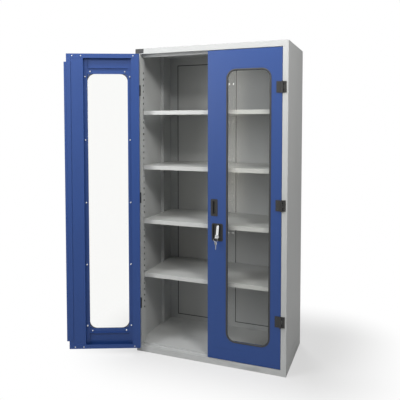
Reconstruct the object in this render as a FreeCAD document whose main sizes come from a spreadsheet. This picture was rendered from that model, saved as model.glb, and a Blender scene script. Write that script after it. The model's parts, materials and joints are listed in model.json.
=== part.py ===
import FreeCAD, Part
import math
import os
from types import SimpleNamespace

import Sketcher

# A free-standing steel tool cabinet with two window doors, in millimetres.
# X runs across the front, Y from the front to the back, Z up from the floor.
# The origin is the centre of the footprint, on the floor.
# The left door is modelled shut and then swung open about its hinge pins.

doc = FreeCAD.newDocument("ToolCabinet")
sheet = doc.addObject("Spreadsheet::Sheet", "Sizes")

# Every driving size: its name, its value in millimetres, degrees or a count, and what it is.
DIMENSIONS = [
    ("cabinet_width", 900, "across the side panels"),
    ("cabinet_depth", 450, "front face to back panels"),
    ("cabinet_height", 1800, "floor to top panel"),
    ("wall", 1.2, "folded sheet steel"),
    ("stile_width", 30, "front edge of a side panel"),
    ("rear_return", 12, "rear fold of a side panel"),
    ("post_depth", 57, "front post, back from the face"),
    ("rear_post_setback", 340, "face to the front of a rear post"),
    ("rear_post_stand", 22, "rear post out from the cabinet's side"),
    ("rear_flange", 52, "rear post's flange on the back panel"),
    ("slot_width", 12, "shelf slot"),
    ("slot_height", 12, "shelf slot"),
    ("slot_pitch", 36, "shelf slot to the next"),
    ("slot_first", 257, "floor to the lowest slot"),
    ("slot_top", 139, "highest slot to the cabinet's top, at least"),
    ("slot_setback", 44, "face to the middle of the front slots"),
    ("slot_inset", 11, "rear post's front to the middle of its slots"),
    ("header_height", 32, "front of the header"),
    ("header_stop", 16, "stop that hangs behind the doors"),
    ("stop_return", 14, "fold behind a door stop"),
    ("stop_gap", 3, "closed door to the door stops"),
    ("sill_height", 34, "front of the sill"),
    ("sill_stop", 10, "rise from the sill's ledge to the floor"),
    ("sill_foot", 15, "fold under the sill"),
    ("top_rear_flange", 50, "down fold at the back of the top"),
    ("floor_rear_flange", 28, "up fold at the back of the floor"),
    ("skirt_foot", 15, "fold under the floor's skirt"),
    ("centre_strip", 58, "strip over the seam of the back panels"),
    ("back_trim", 4, "back panel short of the cabinet's top and floor"),
    ("back_seam", 1, "gap between the back panels"),
    ("rivet_radius", 2, "back rivet's shank"),
    ("rivet_head", 4, "back rivet's head radius"),
    ("rivet_rise", 1.5, "back rivet's head height"),
    ("rivet_low", 177, "floor to the lowest back rivet"),
    ("rivet_high", 183, "highest back rivet to the cabinet's top"),
    ("rivet_count", 7, "back rivets in a row"),
    ("shelf_lip", 24, "turned-down edge of a shelf"),
    ("shelf_hem", 14, "fold under a shelf's front lip"),
    ("shelf_setback", 38, "face to a shelf's front"),
    ("shelf_back_gap", 14, "shelf to the cabinet's back"),
    ("shelf_side_gap", 2, "shelf to the front posts"),
    ("slot_count_below", 5, "slots below the lowest shelf's clip"),
    ("slot_count_per_shelf", 9, "slots from one shelf to the next"),
    ("clip_wall", 1.5, "shelf clip's steel"),
    ("clip_width", 14, "shelf clip"),
    ("clip_drop", 26, "shelf clip's plate"),
    ("clip_reach", 16, "shelf clip's ledge past the front posts"),
    ("clip_rise", 6.5, "slot's middle to the clip's ledge"),
    ("clip_tab", 5, "clip's tab behind the post's face"),
    ("slot_play", 0.5, "clip's tab in its slot, each side"),
    ("plate_width", 52, "bare name plate"),
    ("plate_height", 26, "bare name plate"),
    ("plate_edge", 2, "name plate from the cabinet's edges"),
    ("door_gap", 3, "door to header and sill"),
    ("hinge_gap", 1.5, "door to stile"),
    ("centre_gap", 4, "door to door"),
    ("door_depth", 26, "door's thickness"),
    ("door_return", 25, "fold round the door's back"),
    ("left_door_angle", 157, "left door's opening"),
    ("window_free_margin", 116, "free edge to the window"),
    ("window_hinge_margin", 66.5, "hinge edge to the window"),
    ("window_low_margin", 114, "door's bottom to the window"),
    ("window_high_margin", 113, "window to the door's top"),
    ("window_radius", 45, "window's corners"),
    ("trim_lip", 3, "rubber trim over the steel"),
    ("trim_wall", 1, "rubber trim's lips"),
    ("trim_core", 1.5, "rubber trim inside the opening"),
    ("pane_thickness", 3, "clear pane"),
    ("pane_lap", 7, "pane past the opening"),
    ("clamp_lap", 1.5, "clamping flange past the opening's edge"),
    ("clamp_flange", 20, "channel's wall to the window"),
    ("retainer_high", 30, "strip above the window"),
    ("retainer_low", 24, "strip below the window"),
    ("retainer_rise", 8, "strip's stiffening fold"),
    ("retainer_gap", 0.5, "strip to the channels"),
    ("nut_radius", 4.5, "dome nut"),
    ("nut_height", 5, "dome nut"),
    ("nut_dome", 2, "dome nut's bevel"),
    ("stud_radius", 2, "window stud"),
    ("stud_play", 0.2, "stud in its hole"),
    ("nut_out", 12, "window's edge to the nuts"),
    ("nut_in", 17, "window's corner to the nuts"),
    ("door_rivet_radius", 1.6, "door rivet's shank"),
    ("door_rivet_head", 3.2, "door rivet's head radius"),
    ("door_rivet_rise", 1.5, "door rivet's head height"),
    ("door_rivet_edge", 12, "door's top or bottom to its rivets"),
    ("door_rivet_outer", 34, "free edge to the first rivet"),
    ("door_rivet_inner", 84, "free edge to the second rivet"),
    ("door_rivet_hinge", 34, "hinge edge to the third rivet"),
    ("rivet_play", 0.1, "rivet in its hole"),
    ("lip_wall", 1.5, "left door's lip"),
    ("lip_reach", 13, "lip past the left door's edge"),
    ("lip_joggle", 0.8, "lip's step behind the right door"),
    ("lip_low", 48, "door's bottom to the lip"),
    ("lip_high", 47, "lip to the door's top"),
    ("hinge_low_margin", 261, "door's bottom to the lowest hinge's middle"),
    ("hinge_high_margin", 209, "highest hinge's middle to the door's top"),
    ("hinge_count", 3, "hinges on a door"),
    ("hinge_height", 60, "hinge leaf"),
    ("leaf_wall", 3, "hinge leaf"),
    ("leaf_gap", 1, "knuckle to a leaf's plate"),
    ("leaf_tongue", 3, "pin's axis to the end of a tongue"),
    ("door_leaf", 32, "pin's axis to the door leaf's edge"),
    ("frame_leaf", 22, "pin's axis to the frame leaf's edge"),
    ("knuckle_stand", 0.5, "knuckle in front of the face"),
    ("pin_edge", 1, "pin's axis past the stile's edge"),
    ("pin_radius", 3, "hinge pin"),
    ("pin_head", 4.5, "hinge pin's head radius"),
    ("pin_head_rise", 1.5, "hinge pin's head"),
    ("knuckle_radius", 6.5, "hinge knuckle"),
    ("knuckle_gap", 0.4, "knuckle to knuckle"),
    ("running_play", 0.05, "turning fit, on the radius"),
    ("pull_width", 41, "finger pull"),
    ("pull_height", 96, "finger pull"),
    ("pull_radius", 6, "finger pull's corners"),
    ("pull_rim", 2, "finger pull's rim in front of the door"),
    ("pull_slot_width", 16, "finger pull's slot"),
    ("pull_slot_height", 70, "finger pull's slot"),
    ("pull_wall", 2, "finger pull's walls"),
    ("pull_reach", 12, "finger pull behind the door's face"),
    ("pull_in", 39, "door's free edge to the pull's middle"),
    ("pull_gap", 40, "lock dish to the finger pull"),
    ("dish_width", 65, "lock dish"),
    ("dish_height", 99, "lock dish"),
    ("dish_radius", 9, "lock dish's corners"),
    ("dish_rim", 2.5, "lock dish's rim in front of the door"),
    ("dish_lap", 4.5, "lock dish's rim over the door"),
    ("dish_wall", 2, "lock dish's walls"),
    ("dish_reach", 10, "lock dish behind the door's face"),
    ("dish_in", 57.5, "door's free edge to the dish's middle"),
    ("dish_up", 757.5, "floor to the dish's middle"),
    ("cutout_play", 0.3, "pull or dish in its cut-out"),
    ("boss_radius", 12, "boss round the spindle"),
    ("boss_rise", 6, "boss above the dish's floor"),
    ("lock_offset", 1, "lock's axis right of the dish's middle"),
    ("lock_drop", 22, "lock's axis below the dish's middle"),
    ("handle_angle", 5, "turn handle's lean at rest"),
    ("hub_radius", 11, "turn handle's hub"),
    ("hub_front", 12, "hub in front of the door's face"),
    ("hub_gap", 0.5, "hub to the dish's boss"),
    ("grip_length", 62, "lock's axis to the grip's end"),
    ("grip_width", 15, "turn handle's grip"),
    ("grip_thickness", 7.5, "turn handle's grip"),
    ("grip_radius", 6, "grip's corners"),
    ("grip_edge", 2, "grip's rounded edges"),
    ("spindle_radius", 5, "turn handle's spindle"),
    ("cam_radius", 14, "lock cam"),
    ("cam_gap", 0.5, "cam to the dish's back"),
    ("cam_thickness", 3, "lock cam"),
    ("cam_pin_radius", 2.5, "lock cam's pins"),
    ("cam_pin_offset", 7.5, "cam pin from the lock's axis, across and down"),
    ("cam_pin_length", 5, "lock cam's pins"),
    ("rod_width", 16, "lock rod"),
    ("rod_thickness", 3, "lock rod"),
    ("rod_gap", 0.8, "lock rod to the cam"),
    ("rod_offset", 9.5, "lock's axis to a rod's middle"),
    ("rod_end", 8, "cam pin to the end of a rod"),
    ("rod_short", 2, "rod's end inside the door's edge at rest"),
    ("yoke_play", 0.45, "cam pin in its slot, each side"),
    ("rod_play", 0.5, "lock rod in the door's edge, each side"),
    ("keeper_play", 1.5, "lock rod in header and sill, each side"),
    ("guide_play", 0.4, "lock rod in its guides, each side"),
    ("guide_wall", 4, "rod guide beside the rod"),
    ("guide_height", 14, "rod guide"),
    ("guide_far", 70, "door's top or bottom to a far guide"),
    ("guide_near", 150, "lock's axis to the lower near guide"),
    ("guide_over", 250, "lock's axis to the upper near guide"),
    ("plug_radius", 5, "key plug"),
    ("plug_depth", 10, "key plug in the hub"),
    ("plug_rise", 1, "key plug in front of the hub"),
    ("key_thickness", 2, "key"),
    ("key_blade", 7, "key's blade"),
    ("key_play", 0.2, "key in its slot"),
    ("key_depth", 8, "key's blade in the plug"),
    ("key_neck", 4, "plug to the key's bow"),
    ("bow_radius", 11, "key's bow"),
    ("bow_hole", 4, "hole in a key's bow"),
    ("bow_hole_out", 5.5, "bow's middle to its hole"),
    ("ring_radius", 11.5, "key ring"),
    ("ring_wire", 1, "key ring's wire"),
    ("ring_play", 0.1, "wire to the edge of a bow's hole"),
    ("spare_play", 1.5, "wire to the edge of the spare key's hole"),
    ("spare_length", 24, "spare key's blade below its bow"),
    ("spare_angle", 50, "spare key's turn on the ring"),
]


class Size:
    """A size that carries its number and the sheet expression behind it."""

    def __init__(self, number, text):
        self.number = number
        self.text = text

    def __add__(self, other):
        other = as_size(other)
        return Size(self.number + other.number, f"({self.text} + {other.text})")

    def __sub__(self, other):
        other = as_size(other)
        return Size(self.number - other.number, f"({self.text} - {other.text})")

    def __mul__(self, other):
        other = as_size(other)
        return Size(self.number * other.number, f"({self.text} * {other.text})")

    def __truediv__(self, other):
        other = as_size(other)
        return Size(self.number / other.number, f"({self.text} / {other.text})")

    def __neg__(self):
        return Size(-self.number, f"(-1 * {self.text})")


def as_size(value):
    return value if isinstance(value, Size) else Size(value, f"({value})")


def whole(size):
    """A size rounded down to a whole number, for counts."""
    return Size(math.floor(size.number), f"floor({size.text})")


def write_sheet():
    """Fill the sheet and return its sizes by name."""
    sizes = SimpleNamespace()
    for row, (name, value, note) in enumerate(DIMENSIONS, start=1):
        sheet.set(f"A{row}", note)
        sheet.set(f"B{row}", str(value))
        sheet.setAlias(f"B{row}", name)
        setattr(sizes, name, Size(float(value), f"Sizes.{name}"))
    doc.recompute()
    return sizes


S = write_sheet()
NODES = {}
LINE_START, LINE_END, CENTRE = range(1, 4)
SIDES = {-1: "left", 1: "right"}
LEFT, RIGHT = SIDES


def bind(thing, name, size):
    thing.setExpression(name, as_size(size).text)


def new_body(label):
    body = doc.addObject("PartDesign::Body", label)
    body.Label = label
    NODES[label] = body
    return body


def new_sketch(body, plane, level):
    """A sketch on one of the body's origin planes, moved to a level on the axis across it."""
    sketch = body.newObject("Sketcher::SketchObject", f"{body.Label}_sketch")
    support = next(f for f in body.Origin.OriginFeatures if f.Role == f"{plane}_Plane")
    sketch.AttachmentSupport = [(support, "")]
    sketch.MapMode = "FlatFace"
    bind(sketch, "AttachmentOffset.Base.z", -level if plane == "XZ" else level)
    return sketch


def pin_points(sketch, points):
    """Tie each (geometry, point, x, y) to the sketch's origin by its two sizes."""
    made = []
    texts = []
    for geometry, point, x, y in points:
        for kind, size in (("DistanceX", as_size(x)), ("DistanceY", as_size(y))):
            made.append(Sketcher.Constraint(kind, -1, 1, geometry, point, size.number))
            texts.append(size.text)
    for index, text in zip(sketch.addConstraint(made), texts):
        sketch.setExpression(f"Constraints[{index}]", text)


def add_polygon(sketch, points):
    points = [(as_size(x), as_size(y)) for x, y in points]
    first = sketch.GeometryCount
    corners = [FreeCAD.Vector(x.number, y.number, 0) for x, y in points]
    sides = zip(corners, corners[1:] + corners[:1])
    sketch.addGeometry([Part.LineSegment(a, b) for a, b in sides], False)
    count = len(points)
    joins = []
    for i in range(count):
        follows = first + (i + 1) % count
        joins.append(Sketcher.Constraint("Coincident", first + i, LINE_END, follows, LINE_START))
    sketch.addConstraint(joins)
    pin_points(sketch, [(first + i, LINE_START, x, y) for i, (x, y) in enumerate(points)])


def add_rectangle(sketch, x0, x1, y0, y1):
    add_polygon(sketch, [(x0, y0), (x1, y0), (x1, y1), (x0, y1)])


def add_circle(sketch, x, y, radius):
    x, y, radius = as_size(x), as_size(y), as_size(radius)
    middle = FreeCAD.Vector(x.number, y.number, 0)
    circle = Part.Circle(middle, FreeCAD.Vector(0, 0, 1), radius.number)
    geometry = sketch.addGeometry(circle, False)
    pin_points(sketch, [(geometry, CENTRE, x, y)])
    index = sketch.addConstraint(Sketcher.Constraint("Radius", geometry, radius.number))
    sketch.setExpression(f"Constraints[{index}]", radius.text)


def add_rounded(sketch, x0, x1, y0, y1, radius):
    """A rectangle with round corners: four lines and four arcs, anticlockwise from the bottom."""
    x0, x1, y0, y1, radius = (as_size(v) for v in (x0, x1, y0, y1, radius))
    corners = [
        ((x1 - radius, y0), (x1, y0 + radius)),
        ((x1, y1 - radius), (x1 - radius, y1)),
        ((x0 + radius, y1), (x0, y1 - radius)),
        ((x0, y0 + radius), (x0 + radius, y0)),
    ]
    middles = [
        (x1 - radius, y0 + radius),
        (x1 - radius, y1 - radius),
        (x0 + radius, y1 - radius),
        (x0 + radius, y0 + radius),
    ]

    def vector(point):
        return FreeCAD.Vector(point[0].number, point[1].number, 0)

    def bulge(start, end, middle):
        chord = (vector(start) + vector(end)) * 0.5
        outward = (chord - vector(middle)).normalize()
        return vector(middle) + outward * radius.number

    first = sketch.GeometryCount
    shapes = []
    for i, ((start, end), middle) in enumerate(zip(corners, middles)):
        shapes.append(Part.LineSegment(vector(corners[i - 1][1]), vector(start)))
        shapes.append(Part.Arc(vector(start), bulge(start, end, middle), vector(end)))
    sketch.addGeometry(shapes, False)
    points = []
    for i, (start, end) in enumerate(corners):
        line = first + 2 * i
        points.append((line, LINE_START, *corners[i - 1][1]))
        points.append((line, LINE_END, *start))
    pin_points(sketch, points)
    joins = []
    for i in range(len(corners)):
        line = first + 2 * i
        after = first + (2 * i + 2) % (2 * len(corners))
        joins.append(Sketcher.Constraint("Coincident", line, LINE_END, line + 1, LINE_START))
        joins.append(Sketcher.Constraint("Coincident", line + 1, LINE_END, after, LINE_START))
    sketch.addConstraint(joins)
    for i in range(len(corners)):
        arc = first + 2 * i + 1
        index = sketch.addConstraint(Sketcher.Constraint("Radius", arc, radius.number))
        sketch.setExpression(f"Constraints[{index}]", radius.text)


def pad(body, sketch, length):
    """Raise a sketch along its plane's axis, towards larger X, Y or Z."""
    feature = body.newObject("PartDesign::Pad", f"{body.Label}_pad")
    feature.Profile = sketch
    bind(feature, "Length", length)
    feature.Reversed = is_front_plane(sketch)
    body.Tip = feature
    return feature


def pocket(body, sketch, length):
    """Cut a sketch along its plane's axis, towards larger X, Y or Z."""
    feature = body.newObject("PartDesign::Pocket", f"{body.Label}_pocket")
    feature.Profile = sketch
    bind(feature, "Length", length)
    feature.Reversed = not is_front_plane(sketch)
    body.Tip = feature
    return feature


def is_front_plane(sketch):
    return sketch.AttachmentSupport[0][0].Role == "XZ_Plane"


def repeat_up(body, features, pitch, count):
    """Copy features up the body's Z axis."""
    pattern = body.newObject("PartDesign::LinearPattern", f"{body.Label}_row")
    pattern.Originals = features
    axis = next(f for f in body.Origin.OriginFeatures if f.Role == "Z_Axis")
    pattern.Direction = (axis, [""])
    bind(pattern, "Length", pitch * (count - 1))
    bind(pattern, "Occurrences", count)
    body.Tip = pattern
    return pattern


def folded(path, wall):
    """Outline of a sheet bent square: along one face, and back along the other, on its left."""
    path = [(as_size(x), as_size(y)) for x, y in path]

    def left_of(a, b):
        across = b[0].number - a[0].number
        along = b[1].number - a[1].number
        return (-sign(along), sign(across))

    normals = [left_of(a, b) for a, b in zip(path, path[1:])]
    other_face = []
    for i, (x, y) in enumerate(path):
        beside = normals[max(i - 1, 0):i + 1]
        right, up = (sum(parts) for parts in zip(*beside))
        other_face.append((x + wall * right, y + wall * up))
    return path + other_face[::-1]


def sign(number):
    return (number > 1e-9) - (number < -1e-9)


# Shared places
half_width = S.cabinet_width / 2
front = -S.cabinet_depth / 2
back = S.cabinet_depth / 2
inner_wall = half_width - S.wall
post_face = half_width - S.stile_width
rear_post_face = half_width - S.rear_post_stand
back_sheet = back - S.wall
flange_plane = back_sheet - S.wall
flange_end = rear_post_face - S.rear_flange
underside = S.cabinet_height - S.wall
header_low = S.cabinet_height - S.header_height
floor_top = S.sill_height + S.sill_stop
rebate = S.door_depth + S.stop_gap
rear_slots = S.rear_post_setback + S.slot_inset
slot_count = whole((S.cabinet_height - S.slot_first - S.slot_top) / S.slot_pitch) + 1
rivet_pitch = (S.cabinet_height - S.rivet_low - S.rivet_high) / (S.rivet_count - 1)
door_low = S.sill_height + S.door_gap
door_high = header_low - S.door_gap
free_edge = S.centre_gap / 2
hinge_edge = post_face - S.hinge_gap
window_in = free_edge + S.window_free_margin
window_out = hinge_edge - S.window_hinge_margin
window_low = door_low + S.window_low_margin
window_high = door_high - S.window_high_margin
pin_x = post_face - S.pin_edge
pin_y = front - S.knuckle_radius - S.knuckle_stand
lock_x = free_edge + S.dish_in + S.lock_offset
lock_z = S.dish_up - S.lock_drop
pull_up = S.dish_up + S.dish_height / 2 + S.pull_gap + S.pull_height / 2
rod_front = S.dish_reach + S.cam_gap + S.cam_thickness + S.rod_gap
upper_rod_x = lock_x - S.rod_offset
lower_rod_x = lock_x + S.rod_offset


def behind(depth):
    """A place behind the cabinet's front face."""
    return front + depth


def side_panel(side):
    body = new_body(f"{SIDES[side]}_side_panel")
    path = [
        (post_face * side, front),
        (half_width * side, front),
        (half_width * side, back),
        ((half_width - S.rear_return) * side, back),
    ]
    sketch = new_sketch(body, "XY", as_size(0))
    add_polygon(sketch, folded(path, S.wall * side))
    pad(body, sketch, S.cabinet_height)


def top_panel():
    body = new_body("top_panel")
    sketch = new_sketch(body, "XY", underside)
    add_rectangle(sketch, -inner_wall, inner_wall, behind(S.wall), back_sheet)
    pad(body, sketch, S.wall)
    sketch = new_sketch(body, "XY", S.cabinet_height - S.top_rear_flange)
    add_rectangle(sketch, -flange_end, flange_end, flange_plane, back_sheet)
    pad(body, sketch, S.top_rear_flange - S.wall)


def header_rail():
    body = new_body("header_rail")
    stop_low = header_low - S.header_stop
    path = [
        (front, S.cabinet_height),
        (front, header_low),
        (behind(rebate), header_low),
        (behind(rebate), stop_low),
        (behind(rebate + S.stop_return), stop_low),
    ]
    sketch = new_sketch(body, "YZ", -post_face)
    add_polygon(sketch, folded(path, S.wall))
    pad(body, sketch, post_face * 2)
    keeper(body, upper_rod_x, header_low - S.wall)


def sill_rail():
    body = new_body("sill_rail")
    riser_top = floor_top - S.wall
    path = [
        (behind(S.sill_foot), as_size(0)),
        (front, as_size(0)),
        (front, S.sill_height),
        (behind(rebate), S.sill_height),
        (behind(rebate), riser_top),
        (behind(rebate + S.stop_return), riser_top),
    ]
    sketch = new_sketch(body, "YZ", -post_face)
    add_polygon(sketch, folded(path, -S.wall))
    pad(body, sketch, post_face * 2)
    keeper(body, lower_rod_x, S.sill_height - S.wall * 2)


def keeper(body, rod_x, level):
    """The slot in header or sill that a lock rod enters."""
    sketch = new_sketch(body, "XY", level)
    reach = S.rod_width / 2 + S.keeper_play
    nearest = behind(rod_front - S.keeper_play)
    furthest = behind(rod_front + S.rod_thickness + S.keeper_play)
    add_rectangle(sketch, rod_x - reach, rod_x + reach, nearest, furthest)
    pocket(body, sketch, S.wall * 3)


def floor_tray():
    """The floor, with an up fold at the back and a skirt that stands on the ground."""
    body = new_body("floor_tray")
    right_edge = [
        (post_face, behind(rebate)),
        (post_face, behind(S.post_depth)),
        (inner_wall, behind(S.post_depth)),
        (inner_wall, behind(S.rear_post_setback)),
        (rear_post_face, behind(S.rear_post_setback)),
        (rear_post_face, flange_plane),
    ]
    left_edge = [(-x, y) for x, y in right_edge[::-1]]
    sketch = new_sketch(body, "XY", floor_top - S.wall)
    add_polygon(sketch, right_edge + left_edge)
    pad(body, sketch, S.wall)
    sketch = new_sketch(body, "XY", floor_top - S.wall)
    add_rectangle(sketch, -flange_end, flange_end, flange_plane, back_sheet)
    pad(body, sketch, S.floor_rear_flange + S.wall)
    skirt = right_edge[2:] + left_edge[:-2]
    for width, height in ((S.wall, floor_top - S.wall), (S.skirt_foot, S.wall)):
        sketch = new_sketch(body, "XY", as_size(0))
        add_polygon(sketch, folded(skirt, width))
        pad(body, sketch, height)


def back_panel(side):
    body = new_body(f"back_panel_{SIDES[side]}")
    sketch = new_sketch(body, "XZ", back_sheet)
    outer = half_width - S.rear_return - S.back_seam / 2
    bounds = (S.back_seam / 2 * side, outer * side)
    add_rectangle(sketch, *bounds, S.back_trim, S.cabinet_height - S.back_trim)
    pad(body, sketch, S.wall)
    rivet_holes(body, rivet_line() * side, back_sheet)
    rivet_holes(body, S.centre_strip / 4 * side, back_sheet)


def rivet_line():
    """Middle of the rear posts' rivets, across."""
    return flange_end + S.rear_flange / 4


def rivet_holes(body, x, level):
    sketch = new_sketch(body, "XZ", level)
    add_circle(sketch, x, S.rivet_low, S.rivet_radius + S.rivet_play)
    repeat_up(body, [pocket(body, sketch, S.wall)], rivet_pitch, S.rivet_count)


def back_centre_strip():
    body = new_body("back_centre_strip")
    sketch = new_sketch(body, "XZ", flange_plane)
    low = floor_top + S.floor_rear_flange
    high = S.cabinet_height - S.top_rear_flange
    add_rectangle(sketch, -S.centre_strip / 2, S.centre_strip / 2, low, high)
    pad(body, sketch, S.wall)
    for side in SIDES:
        rivet_holes(body, S.centre_strip / 4 * side, flange_plane)


def back_rivets():
    body = new_body("back_rivets")
    places = [rivet_line() * side for side in SIDES]
    places += [S.centre_strip / 4 * side for side in SIDES]
    heads = []
    for start, length, radius in (
        (flange_plane - S.rivet_rise, S.rivet_rise, S.rivet_head),
        (flange_plane, S.wall * 2, S.rivet_radius),
        (back, S.rivet_rise, S.rivet_head),
    ):
        sketch = new_sketch(body, "XZ", start)
        for x in places:
            add_circle(sketch, x, S.rivet_low, radius)
        heads.append(pad(body, sketch, length))
    repeat_up(body, heads, rivet_pitch, S.rivet_count)


def slot_row(body, plane_level, setback):
    """The column of shelf slots through a post's inner face."""
    sketch = new_sketch(body, "YZ", plane_level)
    middle = behind(setback)
    half = S.slot_width / 2
    low = S.slot_first - S.slot_height / 2
    add_rectangle(sketch, middle - half, middle + half, low, low + S.slot_height)
    repeat_up(body, [pocket(body, sketch, S.wall)], S.slot_pitch, slot_count)


def front_post(side):
    body = new_body(f"front_{SIDES[side]}_post")
    path = [
        (inner_wall * side, behind(S.wall)),
        (post_face * side, behind(S.wall)),
        (post_face * side, behind(S.post_depth)),
        (inner_wall * side, behind(S.post_depth)),
    ]
    sketch = new_sketch(body, "XY", as_size(0))
    add_polygon(sketch, folded(path, -S.wall * side))
    pad(body, sketch, underside)
    level = post_face if side == RIGHT else -post_face - S.wall
    slot_row(body, level, S.slot_setback)


def rear_post(side):
    body = new_body(f"rear_{SIDES[side]}_post")
    path = [
        (inner_wall * side, behind(S.rear_post_setback)),
        (rear_post_face * side, behind(S.rear_post_setback)),
        (rear_post_face * side, flange_plane),
        (flange_end * side, flange_plane),
    ]
    sketch = new_sketch(body, "XY", as_size(0))
    add_polygon(sketch, folded(path, -S.wall * side))
    pad(body, sketch, underside)
    level = rear_post_face if side == RIGHT else -rear_post_face - S.wall
    slot_row(body, level, rear_slots)
    rivet_holes(body, rivet_line() * side, flange_plane)


def ledge_height(number):
    """Top of the clips that carry a shelf, counted from the lowest shelf."""
    slots = S.slot_count_below + S.slot_count_per_shelf * number
    return S.slot_first + S.slot_pitch * slots + S.clip_rise


def shelf(label, number):
    body = new_body(label)
    low = ledge_height(number)
    reach = post_face - S.shelf_side_gap
    near = behind(S.shelf_setback)
    far = back - S.shelf_back_gap
    sketch = new_sketch(body, "XY", low)
    add_rectangle(sketch, -reach, reach, near, far)
    pad(body, sketch, S.shelf_lip)
    sketch = new_sketch(body, "XY", low)
    inside = reach - S.wall
    add_rectangle(sketch, -inside, inside, near + S.wall, far - S.wall)
    pocket(body, sketch, S.shelf_lip - S.wall)
    sketch = new_sketch(body, "XY", low)
    add_rectangle(sketch, -inside, inside, near + S.wall, near + S.shelf_hem)
    pad(body, sketch, S.wall)


def shelf_clips(count):
    """Hooked clips, four to a shelf, with their tabs in the posts' slots."""
    body = new_body("shelf_clips")
    ledge = ledge_height(0)
    slot_middle = ledge - S.clip_rise
    tab_half = S.slot_height / 2 - S.slot_play
    features = []
    for face, setback in ((post_face, S.slot_setback), (rear_post_face, rear_slots)):
        sketch = new_sketch(body, "XZ", behind(setback) - S.clip_width / 2)
        for side in SIDES:
            path = [
                (face * side, ledge - S.clip_drop),
                (face * side, ledge),
                ((post_face - S.clip_reach) * side, ledge),
            ]
            add_polygon(sketch, folded(path, S.clip_wall * side))
        features.append(pad(body, sketch, S.clip_width))
        tab_width = S.slot_width - S.slot_play * 2
        sketch = new_sketch(body, "XZ", behind(setback) - tab_width / 2)
        for side in SIDES:
            bounds = (face * side, (face + S.clip_tab) * side)
            add_rectangle(sketch, *bounds, slot_middle - tab_half, ledge - S.clip_wall)
        features.append(pad(body, sketch, tab_width))
    repeat_up(body, features, S.slot_pitch * S.slot_count_per_shelf, as_size(count))


def name_plate():
    body = new_body("name_plate")
    sketch = new_sketch(body, "XZ", front - S.wall)
    left = -half_width + S.plate_edge
    high = S.cabinet_height - S.plate_edge
    add_rectangle(sketch, left, left + S.plate_width, high - S.plate_height, high)
    pad(body, sketch, S.wall)


def swing(body, side):
    """Turn a left door's piece to the angle at which the door stands open."""
    if side == LEFT:
        turn = f"rotation(vector(0; 0; 1); -{S.left_door_angle.text})"
        pivot = f"vector({(-pin_x).text}; {pin_y.text}; 0)"
        body.setExpression("Placement", f"placement(vector(0; 0; 0); {turn}; {pivot})")


def door_bounds(side, margin):
    """A door's outline, drawn in by a margin."""
    across = ((free_edge + margin) * side, (hinge_edge - margin) * side)
    return (*across, door_low + margin, door_high - margin)


def door_skin(side):
    """The door's face sheet, with its window and the cut-outs for the pull and the lock."""
    body = new_body(f"{SIDES[side]}_door_skin")
    sketch = new_sketch(body, "XZ", front)
    add_rectangle(sketch, *door_bounds(side, as_size(0)))
    add_window(sketch, side, as_size(0))
    if side == RIGHT:
        add_rounded(sketch, *dish_bounds(S.cutout_play - S.dish_lap), S.dish_radius - S.dish_lap)
        add_rectangle(sketch, *pull_bounds(S.pull_wall + S.cutout_play))
    pad(body, sketch, S.wall)
    swing(body, side)


def door_edge(side):
    """The door's folded edge: four walls behind the skin and the fold round the door's back."""
    body = new_body(f"{SIDES[side]}_door_edge")
    layers = (
        (S.wall, S.door_depth - S.wall * 2, S.wall),
        (S.door_depth - S.wall, S.wall, S.door_return),
    )
    for start, depth, width in layers:
        sketch = new_sketch(body, "XZ", behind(start))
        add_rectangle(sketch, *door_bounds(side, as_size(0)))
        add_rectangle(sketch, *door_bounds(side, width))
        pad(body, sketch, depth)
    sketch = new_sketch(body, "XZ", behind(S.door_depth - S.wall))
    for x, z in rivet_places(side):
        add_circle(sketch, x, z, S.door_rivet_radius + S.rivet_play)
    pocket(body, sketch, S.wall)
    if side == RIGHT:
        rod_slot(body, upper_rod_x, door_high - S.wall)
        rod_slot(body, lower_rod_x, door_low)
    swing(body, side)


def rod_slot(body, rod_x, level):
    """The slot in the door's top or bottom edge that a lock rod slides through."""
    sketch = new_sketch(body, "XY", level)
    reach = S.rod_width / 2 + S.rod_play
    nearest = behind(rod_front - S.rod_play)
    furthest = behind(rod_front + S.rod_thickness + S.rod_play)
    add_rectangle(sketch, rod_x - reach, rod_x + reach, nearest, furthest)
    pocket(body, sketch, S.wall)


def add_window(sketch, side, margin):
    """The window's outline, grown by a margin."""
    left, right = sorted((window_in * side, window_out * side), key=lambda x: x.number)
    low = window_low - margin
    high = window_high + margin
    add_rounded(sketch, left - margin, right + margin, low, high, S.window_radius + margin)


def dish_bounds(margin):
    middle = free_edge + S.dish_in
    half = S.dish_width / 2 + margin
    tall = S.dish_height / 2 + margin
    return (middle - half, middle + half, S.dish_up - tall, S.dish_up + tall)


def pull_bounds(margin):
    """The finger pull's slot, grown by a margin."""
    middle = free_edge + S.pull_in
    half = S.pull_slot_width / 2 + margin
    tall = S.pull_slot_height / 2 + margin
    return (middle - half, middle + half, pull_up - tall, pull_up + tall)


def rivet_places(side):
    across = (
        free_edge + S.door_rivet_outer,
        free_edge + S.door_rivet_inner,
        hinge_edge - S.door_rivet_hinge,
    )
    heights = (door_low + S.door_rivet_edge, door_high - S.door_rivet_edge)
    return [(x * side, z) for x in across for z in heights]


clamp_front = S.wall + S.trim_wall + S.pane_thickness
clamp_back = clamp_front + S.wall
channel_face = S.door_depth - S.wall
side_nut_low = window_low + S.nut_in
side_nut_step = (window_high - window_low - S.nut_in * 2) / 4
SIDE_NUTS = range(5)


def side_nuts(x):
    return [(x, side_nut_low + side_nut_step * i) for i in SIDE_NUTS]


def stud_holes(body, places, radius):
    sketch = new_sketch(body, "XZ", behind(clamp_front))
    for x, z in places:
        add_circle(sketch, x, z, radius)
    pocket(body, sketch, S.wall)


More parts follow.
